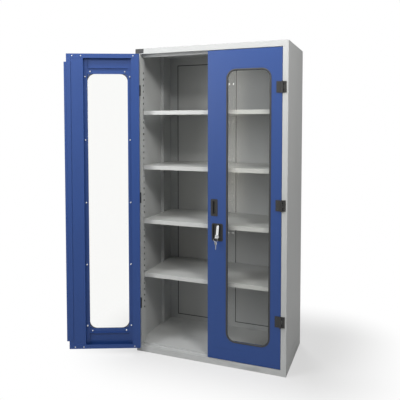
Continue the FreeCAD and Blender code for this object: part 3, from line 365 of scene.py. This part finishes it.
def rounded(node, radius, chosen=is_sharp):
    """A copy of a solid with its chosen edges rounded, which takes the solid's place."""
    source = nodes[node]
    shape = bmesh.new()
    shape.from_mesh(source.data)
    bmesh.ops.remove_doubles(shape, verts=shape.verts, dist=WELD)
    bmesh.ops.dissolve_limit(shape, angle_limit=FLAT, verts=shape.verts, edges=shape.edges)
    edges = [edge for edge in shape.edges if chosen(edge)]
    bmesh.ops.bevel(shape, geom=edges, offset=radius, segments=BEVEL_STEPS, profile=0.5,
                    affect="EDGES", clamp_overlap=True)
    smooth_but_sharp(shape)
    piece = new_piece(f"{node}_rounded", shape, body_of(source)[0], slot_of[node])
    piece.modifiers.new("flat faces", "WEIGHTED_NORMAL").keep_sharp = True
    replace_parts(piece, node)
    return len(edges)


BEND, MOULDED_EDGE, PRESSED_EDGE = 0.0008, 0.0009, 0.0004
SHELVES = 4
radius_of = {
    "lock_dish": MOULDED_EDGE, "pull_cup": MOULDED_EDGE, "name_plate": PRESSED_EDGE,
    "turn_handle": MOULDED_EDGE, "door_key": PRESSED_EDGE, "key_plug": PRESSED_EDGE,
}
for number in range(1, SHELVES + 1):
    radius_of[f"shelf_{number}"] = BEND
for side in ("left", "right"):
    radius_of[f"{side}_hinge_door_leaves"] = BEND
    radius_of[f"{side}_hinge_frame_leaves"] = BEND
count = sum(rounded(node, radius) for node, radius in radius_of.items())
print("rounded", count, "edges on", len(radius_of), "pieces")

# %% [markdown]
# The big folded sheets need rounding along their bends alone: a sheet's cut rim stays square. A bend is
# a long outward edge with a wide face on both sides, which tells it from a rim. A door's skin bends back
# all round its face, so there the edges of the face that looks outwards are taken. The left door is
# open, so its outward direction is turned by the angle that its joint goes back to close.

# %% Folded sheets
SHEET_BEND, FOLD_LENGTH, RIM_WIDTH = 0.0011, 0.3, 0.003
SAME_WAY = 0.99
joint_of = {joint["name"]: joint for joint in frame["joints"]}
left_hinge = joint_of["left_door_hinge"]
opened = Matrix.Rotation(math.radians(-left_hinge["range_deg"][0]), 4, Vector(left_hinge["axis"]))
outward = {"left": opened @ Vector((0, -1, 0)), "right": Vector((0, -1, 0))}


def is_fold(edge):
    length = edge.calc_length()
    if length < FOLD_LENGTH or not is_sharp(edge) or not edge.is_convex:
        return False
    return all(face.calc_area() > RIM_WIDTH * length for face in edge.link_faces)


def edge_of_face_towards(direction):
    """A choice of the sharp edges round the faces that look in a direction."""
    def chosen(edge):
        return is_sharp(edge) and any(face.normal.dot(direction) > SAME_WAY for face in edge.link_faces)
    return chosen


for node in ("left_side_panel", "right_side_panel", "header_rail", "sill_rail"):
    print(node, rounded(node, SHEET_BEND, is_fold), "bends")
for side, direction in outward.items():
    edges = rounded(f"{side}_door_skin", SHEET_BEND, edge_of_face_towards(direction))
    print(side, "door skin", edges, "edges")

# %% [markdown]
# Each hinge leaf is held by two screws with domed heads and a socket. A head is a profile turned about
# its axis, which closes by itself. The left door stands open, so its screws are laid out on the shut
# door and then swung by its joint's own angle, which keeps them in the leaf whatever that angle is.

# %% Hinge screws
SCREW_RADIUS, SCREW_RISE, SOCKET_RADIUS = 0.0034, 0.0016, 0.0016
SCREW_SPREAD = 0.019
HINGE_HEIGHT, HINGES, LEAF_WALL = 0.06, 3, 0.003
DOOR_SCREW, FRAME_SCREW = -0.020, 0.0148
TURNS = 20


def lathe(shape, profile, place):
    """Add a profile of (radius, height) points, turned about Z and put in its place."""
    rings = []
    for radius, height in profile:
        count = TURNS if radius else 1
        angles = [2 * math.pi * i / count for i in range(count)]
        points = [(radius * math.cos(a), radius * math.sin(a), height) for a in angles]
        rings.append([shape.verts.new(place @ Vector(point)) for point in points])
    for low, high in zip(rings, rings[1:]):
        for i in range(TURNS):
            j = i + 1
            corners = low[i % len(low)], low[j % len(low)], high[j % len(high)], high[i % len(high)]
            shape.faces.new(dict.fromkeys(corners))


SCREW = [
    (0, 0), (SCREW_RADIUS, 0), (SCREW_RADIUS, SCREW_RISE * 0.3), (SCREW_RADIUS * 0.8, SCREW_RISE * 0.75),
    (SCREW_RADIUS * 0.6, SCREW_RISE), (SOCKET_RADIUS, SCREW_RISE), (SOCKET_RADIUS, SCREW_RISE * 0.3),
    (0, SCREW_RISE * 0.2),
]
hinge_low, hinge_high = (corner.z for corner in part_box("right_hinge_frame_leaves"))
hinge_pitch = (hinge_high - hinge_low - HINGE_HEIGHT) / (HINGES - 1)
face_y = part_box("right_hinge_frame_leaves")[1].y
to_front = Matrix.Rotation(math.radians(90), 4, "X")


def hinge_screws(name, side, from_pin, body, swing=None):
    """Two screws to each hinge leaf of a door or its frame, as one piece."""
    shape = bmesh.new()
    pin = Vector(joint_of[f"{side}_door_hinge"]["pos_m"])
    x = pin.x + from_pin * (1 if pin.x > 0 else -1)
    for hinge in range(HINGES):
        middle = hinge_low + HINGE_HEIGHT / 2 + hinge * hinge_pitch
        for up in (-SCREW_SPREAD, SCREW_SPREAD):
            place = Matrix.Translation((x, face_y - LEAF_WALL, middle + up)) @ to_front
            if swing:
                place = Matrix.Translation(pin) @ swing @ Matrix.Translation(-pin) @ place
            lathe(shape, SCREW, place)
    smooth_but_sharp(shape)
    return new_piece(name, shape, body, "hinge_black")


hinge_screws("left_door_hinge_screws", "left", DOOR_SCREW, "left_door", opened)
hinge_screws("right_door_hinge_screws", "right", DOOR_SCREW, "right_door")
for side in ("left", "right"):
    hinge_screws(f"{side}_frame_hinge_screws", side, FRAME_SCREW, "cabinet")
print(4 * HINGES * 2, "hinge screws")

# %% [markdown]
# Soft rubber edging grips the steel round each window. Its section has a flat lip behind the sheet, a
# core through the opening, and in front a wide domed flap, which draws the dark line round the pane. A
# point of the section says how far it lies out from the opening's edge and how far it rises from the
# door's face. The section is carried round a rectangle with rounded corners: every point makes one ring,
# larger or smaller than the opening, and neighbouring rings are joined.

# %% Window edging
WINDOW_RADIUS, CORNER_STEPS = 0.045, 9
LIP, LIP_WALL, CORE = 0.003, 0.001, 0.0015
trim_low, trim_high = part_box("right_window_trim")
face_of_door = trim_low.y + LIP_WALL
back_of_sheet = face_of_door - trim_high.y + LIP_WALL
DOME = [(0.009, 0), (0.0082, 0.0011), (0.0062, 0.0019), (0.0038, 0.0022), (0.0012, 0.0019)]
EDGING = DOME + [
    (-0.0007, 0.0011), (-CORE, 0), (-CORE, back_of_sheet - LIP_WALL), (LIP, back_of_sheet - LIP_WALL),
    (LIP, back_of_sheet), (0, back_of_sheet), (0, 0),
]


def window_edging(side, swing):
    """The edging's section carried round a door's window, in place of the plain solid."""
    shape = bmesh.new()
    inset = LIP + WINDOW_RADIUS
    across = trim_low.x + inset, trim_high.x - inset
    upright = trim_low.z + inset, trim_high.z - inset
    hand = 1 if side == "right" else -1
    rings = []
    for outwards, rise in EDGING:
        ring = []
        for quarter in range(4):
            middle = Vector((across[quarter in (0, 3)], face_of_door - rise, upright[quarter < 2]))
            for step in range(CORNER_STEPS):
                turn = math.pi / 2 * (quarter + step / (CORNER_STEPS - 1))
                arm = Vector((math.cos(turn), 0, math.sin(turn))) * (WINDOW_RADIUS + outwards)
                point = middle + arm
                point.x *= hand
                ring.append(shape.verts.new(swing @ point))
        rings.append(ring)
    for ring, following in zip(rings, rings[1:] + rings[:1]):
        for i in range(len(ring)):
            j = (i + 1) % len(ring)
            shape.faces.new((ring[i], ring[j], following[j], following[i]))
    bmesh.ops.recalc_face_normals(shape, faces=shape.faces)
    smooth_but_sharp(shape)
    piece = new_piece(f"{side}_window_edging", shape, f"{side}_door", "trim_rubber")
    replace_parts(piece, f"{side}_window_trim")
    return piece


pin = Matrix.Translation(left_hinge["pos_m"])
for side, swing in (("left", pin @ opened @ pin.inverted()), ("right", Matrix())):
    piece = window_edging(side, swing)
    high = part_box(f"{side}_window_trim")[1]
    heights = [vertex.co.z for vertex in piece.data.vertices]
    print(side, "edging goes", round(1000 * (max(heights) - high.z), 1), "mm past the plain lip")

# %% [markdown]
# The two back panels lie behind the flanges of the posts, the top, the floor and the strip down the
# middle. Along these laps runs a dark low half round, which is painted shadow: it stands in for the
# shade in the gap of each lap, and it draws the thin line round each panel that shows the back to be made
# of sheets. Its section is carried round the four sides of the opening with mitred corners.

# %% Painted shadow lines on the back panels
SHADOW_LINE_WIDTH, SHADOW_LINE_RISE, SHADOW_LINE_STEPS = 0.005, 0.001, 6
back_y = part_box("back_panel_left")[0].y
shadow_line_low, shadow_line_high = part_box("floor_tray")[1].z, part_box("top_panel")[0].z


def panel_shadow_line(shape, left, right):
    """A dark half round inside the four sides of the opening in front of a back panel: a painted shadow.
    """
    rows = []
    for step in range(SHADOW_LINE_STEPS + 1):
        turn = math.pi * step / SHADOW_LINE_STEPS
        inset = SHADOW_LINE_WIDTH * (1 - math.cos(turn)) / 2
        y = back_y - SHADOW_LINE_RISE * math.sin(turn)
        low, high = shadow_line_low + inset, shadow_line_high - inset
        ends = (left + inset, low), (right - inset, low), (right - inset, high), (left + inset, high)
        rows.append([shape.verts.new((x, y, z)) for x, z in ends])
    for row, following in zip(rows, rows[1:] + rows[:1]):
        for i, j in ((0, 1), (1, 2), (2, 3), (3, 0)):
            shape.faces.new((row[i], row[j], following[j], following[i]))


shape = bmesh.new()
strip_left, strip_right = (corner.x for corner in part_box("back_centre_strip"))
panel_shadow_line(shape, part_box("rear_left_post")[1].x, strip_left)
panel_shadow_line(shape, strip_right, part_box("rear_right_post")[0].x)
bmesh.ops.recalc_face_normals(shape, faces=shape.faces)
smooth_but_sharp(shape)
# A dark strip in the rubber finish that paints the shadow in the gaps of the laps.
new_piece("back_panel_sealer", shape, "cabinet", "trim_rubber")
print("painted_lap_shadow round two back panels,", round(1000 * (shadow_line_high - shadow_line_low)), "mm high")

# %% [markdown]
# The keys hang on a split ring: coiled wire that goes round twice and steps over once between its
# turns. Its path is a circle whose place along the axis takes a short smooth step half way, and a wire
# section is carried along that path.

# %% Split ring
WIRE = 0.00052
RING_STEPS, WIRE_SIDES = 120, 8
RING_START, RING_END = math.radians(20), math.radians(700)
CROSSING, CROSSING_LENGTH = math.radians(345), math.radians(30)

low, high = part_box("key_ring")
ring_middle = (low + high) / 2
ring_radius = (high.x - low.x - (high.y - low.y)) / 2


def ring_section(turn):
    """The points round the wire, at a turn in radians from the top."""
    step = min(1, max(0, (turn - CROSSING) / CROSSING_LENGTH))
    along = WIRE * (2 * (3 - 2 * step) * step * step - 1)
    arm = Vector((math.sin(turn), 0, math.cos(turn)))
    centre = ring_middle + arm * ring_radius + Vector((0, along, 0))
    angles = [2 * math.pi * i / WIRE_SIDES for i in range(WIRE_SIDES)]
    return [centre + WIRE * (arm * math.cos(a) + Vector((0, math.sin(a), 0))) for a in angles]


shape = bmesh.new()
turns = [RING_START + (RING_END - RING_START) * i / RING_STEPS for i in range(RING_STEPS + 1)]
sections = [[shape.verts.new(point) for point in ring_section(turn)] for turn in turns]
for first, second in zip(sections, sections[1:]):
    for i in range(WIRE_SIDES):
        j = (i + 1) % WIRE_SIDES
        shape.faces.new((first[i], first[j], second[j], second[i]))
shape.faces.new(reversed(sections[0]))
shape.faces.new(sections[-1])
smooth_but_sharp(shape)
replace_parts(new_piece("split_key_ring", shape, "key_ring", "bright_zinc"), "key_ring")
print("split ring", round(2000 * (ring_radius + WIRE), 1), "mm across")

# %% [markdown]
# The spare key is stamped from sheet and cut along one edge. Its outline is a round bow, a straight
# back and a cut edge, worked out by a loop, with the hole as a second loop. Filling between the two and
# pulling the face out to the sheet's thickness makes the key, which then turns to the way it hangs.

# %% Spare key
KEY_SHEET, BOW, BOW_HOLE, HOLE_RISE = 0.002, 0.011, 0.004, 0.0055
BLADE, CUT_PITCH = 0.0035, 0.0042
CUTS = (0.0012, 0.0022, 0.0008, 0.0018)
BOW_OPENING = math.asin(BLADE / BOW)
BOW_STEPS, HOLE_STEPS = 30, 20

low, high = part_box("spare_key")
bow_z = high.z - BOW
tip_z = low.z
arc = [BOW_OPENING + (2 * math.pi - 2 * BOW_OPENING) * i / BOW_STEPS for i in range(BOW_STEPS + 1)]
outline = [(-BOW * math.sin(a), bow_z - BOW * math.cos(a)) for a in arc]
cut_z = bow_z - BOW - CUT_PITCH
for depth in CUTS:
    notch = BLADE - depth
    outline += [(BLADE, cut_z), (notch, cut_z - CUT_PITCH * 0.4), (notch, cut_z - CUT_PITCH * 0.6)]
    cut_z -= CUT_PITCH
outline += [(BLADE, cut_z), (BLADE * 0.3, tip_z), (-BLADE * 0.3, tip_z), (-BLADE, tip_z + BLADE)]
circle = [2 * math.pi * i / HOLE_STEPS for i in range(HOLE_STEPS)]
hole = [(BOW_HOLE * math.sin(a), bow_z + HOLE_RISE + BOW_HOLE * math.cos(a)) for a in circle]

shape = bmesh.new()
rim = []
for loop in (outline, hole):
    ring = [shape.verts.new((-KEY_SHEET / 2, across, up)) for across, up in loop]
    rim += [shape.edges.new(pair) for pair in zip(ring, ring[1:] + ring[:1])]
filled = bmesh.ops.triangle_fill(shape, use_beauty=True, edges=rim)["geom"]
faces = [item for item in filled if isinstance(item, bmesh.types.BMFace)]
pulled = bmesh.ops.extrude_face_region(shape, geom=faces, use_keep_orig=True)["geom"]
moved = [item for item in pulled if isinstance(item, bmesh.types.BMVert)]
bmesh.ops.translate(shape, verts=moved, vec=(KEY_SHEET, 0, 0))
bmesh.ops.recalc_face_normals(shape, faces=shape.faces)
print("spare key", len(shape.faces), "faces,", round(1000 * (high.z - low.z), 1), "mm long")

SPARE_TURN = math.radians(50)
bmesh.ops.rotate(shape, verts=shape.verts, cent=(0, 0, 0), matrix=Matrix.Rotation(SPARE_TURN, 3, "Z"))
bmesh.ops.translate(shape, verts=shape.verts, vec=((low.x + high.x) / 2, (low.y + high.y) / 2, 0))
smooth_but_sharp(shape)
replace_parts(new_piece("spare_key_cut", shape, "spare_key", "bright_zinc"), "spare_key")

# %% [markdown]
# The studio is white. The floor is a matte sheet that keeps the cabinet's shadow near it, and further
# out it turns into plain white, so that no horizon shows. Near the cabinet only part of the seen floor
# is white, so it is greyer there even where lamps reach it: a painted soft shadow round the footprint,
# set a little to the right and behind, over the real shadow. Light Path tells rays that are seen, in the
# picture or in a reflection, from rays that only carry light: the full white is for the first kind, and
# the second kind meets a matte floor and a dim sky.

# %% Floor and backdrop
FLOOR_REACH, FLOOR_DROP, FLOOR_GREY = 9.0, 0.0005, 0.55
FOOTPRINT = (0.45, 0.225, 1.0)
SHADE_MIDDLE, SHADE_REACH, NEAR_WHITE = (0.1, 0.12, 0.0), 0.6, 0.55
AMBIENT = 0.08


def seen_rays(tree):
    """1 for rays that end in the picture, straight, mirrored or through a pane."""
    seen = tree.node("LightPath", output="Is Camera Ray")
    for kind in ("Is Glossy Ray", "Is Transmission Ray"):
        seen = tree.maths("MAXIMUM", seen, tree.node("LightPath", output=kind))
    return seen


mesh = bpy.data.meshes.new("studio_floor")
corners = [(x, y, -FLOOR_DROP) for x, y in ((-1, -1), (1, -1), (1, 1), (-1, 1))]
mesh.from_pydata([(x * FLOOR_REACH, y * FLOOR_REACH, z) for x, y, z in corners], [], [(0, 1, 2, 3)])
floor = bpy.data.objects.new("studio_floor", mesh)
bpy.context.scene.collection.objects.link(floor)

tree = new_finish("studio_white")
place = tree.node("TexCoord", output="Object")
place = tree.node("VectorMath", {0: place, 1: SHADE_MIDDLE}, operation="SUBTRACT")
across = tree.node("VectorMath", {0: place}, operation="ABSOLUTE")
outside = tree.node("VectorMath", {0: across, 1: FOOTPRINT}, operation="SUBTRACT")
outside = tree.node("VectorMath", {0: outside, 1: (0, 0, 0)}, operation="MAXIMUM")
reach = tree.node("VectorMath", {0: outside}, output="Value", operation="LENGTH")
# Greyer near the footprint: a painted soft shadow, with the real shadow in its matte share.
fade = {"Value": reach, "From Min": 0.0, "From Max": SHADE_REACH, "To Min": NEAR_WHITE, "To Max": 1.0}
plain = tree.node("MapRange", fade, interpolation_type="SMOOTHSTEP")
matte = tree.node("BsdfDiffuse", {"Color": (FLOOR_GREY, FLOOR_GREY, FLOOR_GREY, 1)})
white = tree.node("Emission", {"Color": (1, 1, 1, 1), "Strength": 1.0})
show(tree, tree.node("MixShader", {0: plain * seen_rays(tree), 1: matte, 2: white}))
mesh.materials.append(FINISHES["studio_white"])

world = bpy.data.worlds.new("studio")
bpy.context.scene.world = world
world.use_nodes = True
world.node_tree.nodes.clear()
tree = Wire(world.node_tree)
dim = tree.node("Background", {"Color": (1, 1, 1, 1), "Strength": AMBIENT})
glow = tree.node("Background", {"Color": (1, 1, 1, 1), "Strength": 1.0})
tree.node("OutputWorld", {"Surface": tree.node("MixShader", {0: seen_rays(tree), 1: dim, 2: glow})})
print("floor", 2 * FLOOR_REACH, "m across")

# %% [markdown]
# The photograph was lit from above and in front: the header is far brighter than the sill, and every
# shelf throws a slanted shadow on the side wall and the back. Three small lamps near the ceiling make
# those shadows, in front, on the right and on the left, and a soft fill stands on the left. A long lamp
# overhead lights the top more than the foot. Two weak ones stand where the right door mirrors them to
# the camera: one gives the blue paint its sheen, the other a faint warm glare to the pane. Together they
# light the front at a plain level, at which the grey paint, from top to foot, looks on average as light as
# it is written. A large lamp behind the cabinet lights its back, which shows in other views.

# %% Lamps
WARM, WHITE, COOL, AMBER = (1, 0.985, 0.96), (1, 1, 1), (0.97, 0.98, 1), (1, 0.92, 0.78)


def area_lamp(name, place, target, size, power, colour):
    """A lamp with a face of size metres at a place, aimed at a target. Its power is in watts."""
    lamp = bpy.data.lights.new(name, "AREA")
    lamp.shape = "RECTANGLE"
    lamp.size, lamp.size_y = size
    lamp.energy = power
    lamp.color = colour
    holder = bpy.data.objects.new(name, lamp)
    holder.location = place
    aim = Vector(target) - Vector(place)
    holder.rotation_euler = aim.to_track_quat("-Z", "Y").to_euler()
    bpy.context.scene.collection.objects.link(holder)


area_lamp("key_lamp", (0.5, -3.0, 3.2), (0, 0, 1.0), (0.5, 0.4), 17, WARM)
area_lamp("right_lamp", (1.5, -1.5, 2.45), (-0.1, 0, 1.2), (0.5, 0.4), 21, WARM)
area_lamp("left_lamp", (-1.5, -1.5, 2.8), (0.1, 0, 1.2), (0.6, 0.6), 15.5, COOL)
area_lamp("left_fill", (-1.7, -2.5, 2.0), (-0.05, -0.2, 1.1), (1.0, 1.2), 29, COOL)
area_lamp("overhead", (0, -0.9, 2.9), (0, -0.3, 0.9), (1.6, 0.4), 15.5, WHITE)
area_lamp("door_sheen", (-0.6, -2.9, 2.4), (0.1, 0, 1.7), (1.6, 0.6), 3, COOL)
area_lamp("pane_glare", (-0.66, -2.9, 1.3), (0.2, 0, 1.3), (0.16, 1.9), 3.0, AMBER)
area_lamp("back_fill", (-0.9, 2.6, 2.0), (0, 0.2, 1.0), (1.2, 1.6), 50, WHITE)

# %% [markdown]
# The camera stands where the photograph was taken: to the right of the cabinet, at chest height, looking
# almost level. Its place, turn and lens come from fitting the cabinet's corners to the picture, in
# pixels. The frame sits lower than the lens axis, which a small vertical shift gives without tilting the
# uprights.

# %% Camera
FRAME_PIXELS = 400
FOCAL_PIXELS = 491.6
AXIS_PIXELS = 148.4
SENSOR = 36

camera = bpy.data.objects.new("camera", bpy.data.cameras.new("camera"))
camera.data.sensor_width = SENSOR
camera.data.lens = SENSOR * FOCAL_PIXELS / FRAME_PIXELS
camera.data.shift_y = (AXIS_PIXELS - FRAME_PIXELS / 2) / FRAME_PIXELS
yaw, pitch = math.radians(20.94), math.radians(-2.74)
forward = Vector((-math.sin(yaw), math.cos(yaw), math.tan(pitch)))
camera.location = (0.9408, -2.7992, 1.3563)
camera.rotation_euler = forward.to_track_quat("-Z", "Y").to_euler()
bpy.context.scene.collection.objects.link(camera)
bpy.context.scene.camera = camera
print("lens", round(camera.data.lens, 2), "mm")

# %% [markdown]
# Standard colour shows a finish about as it is written.

# %% Finish
bpy.context.scene.view_settings.view_transform = "Standard"
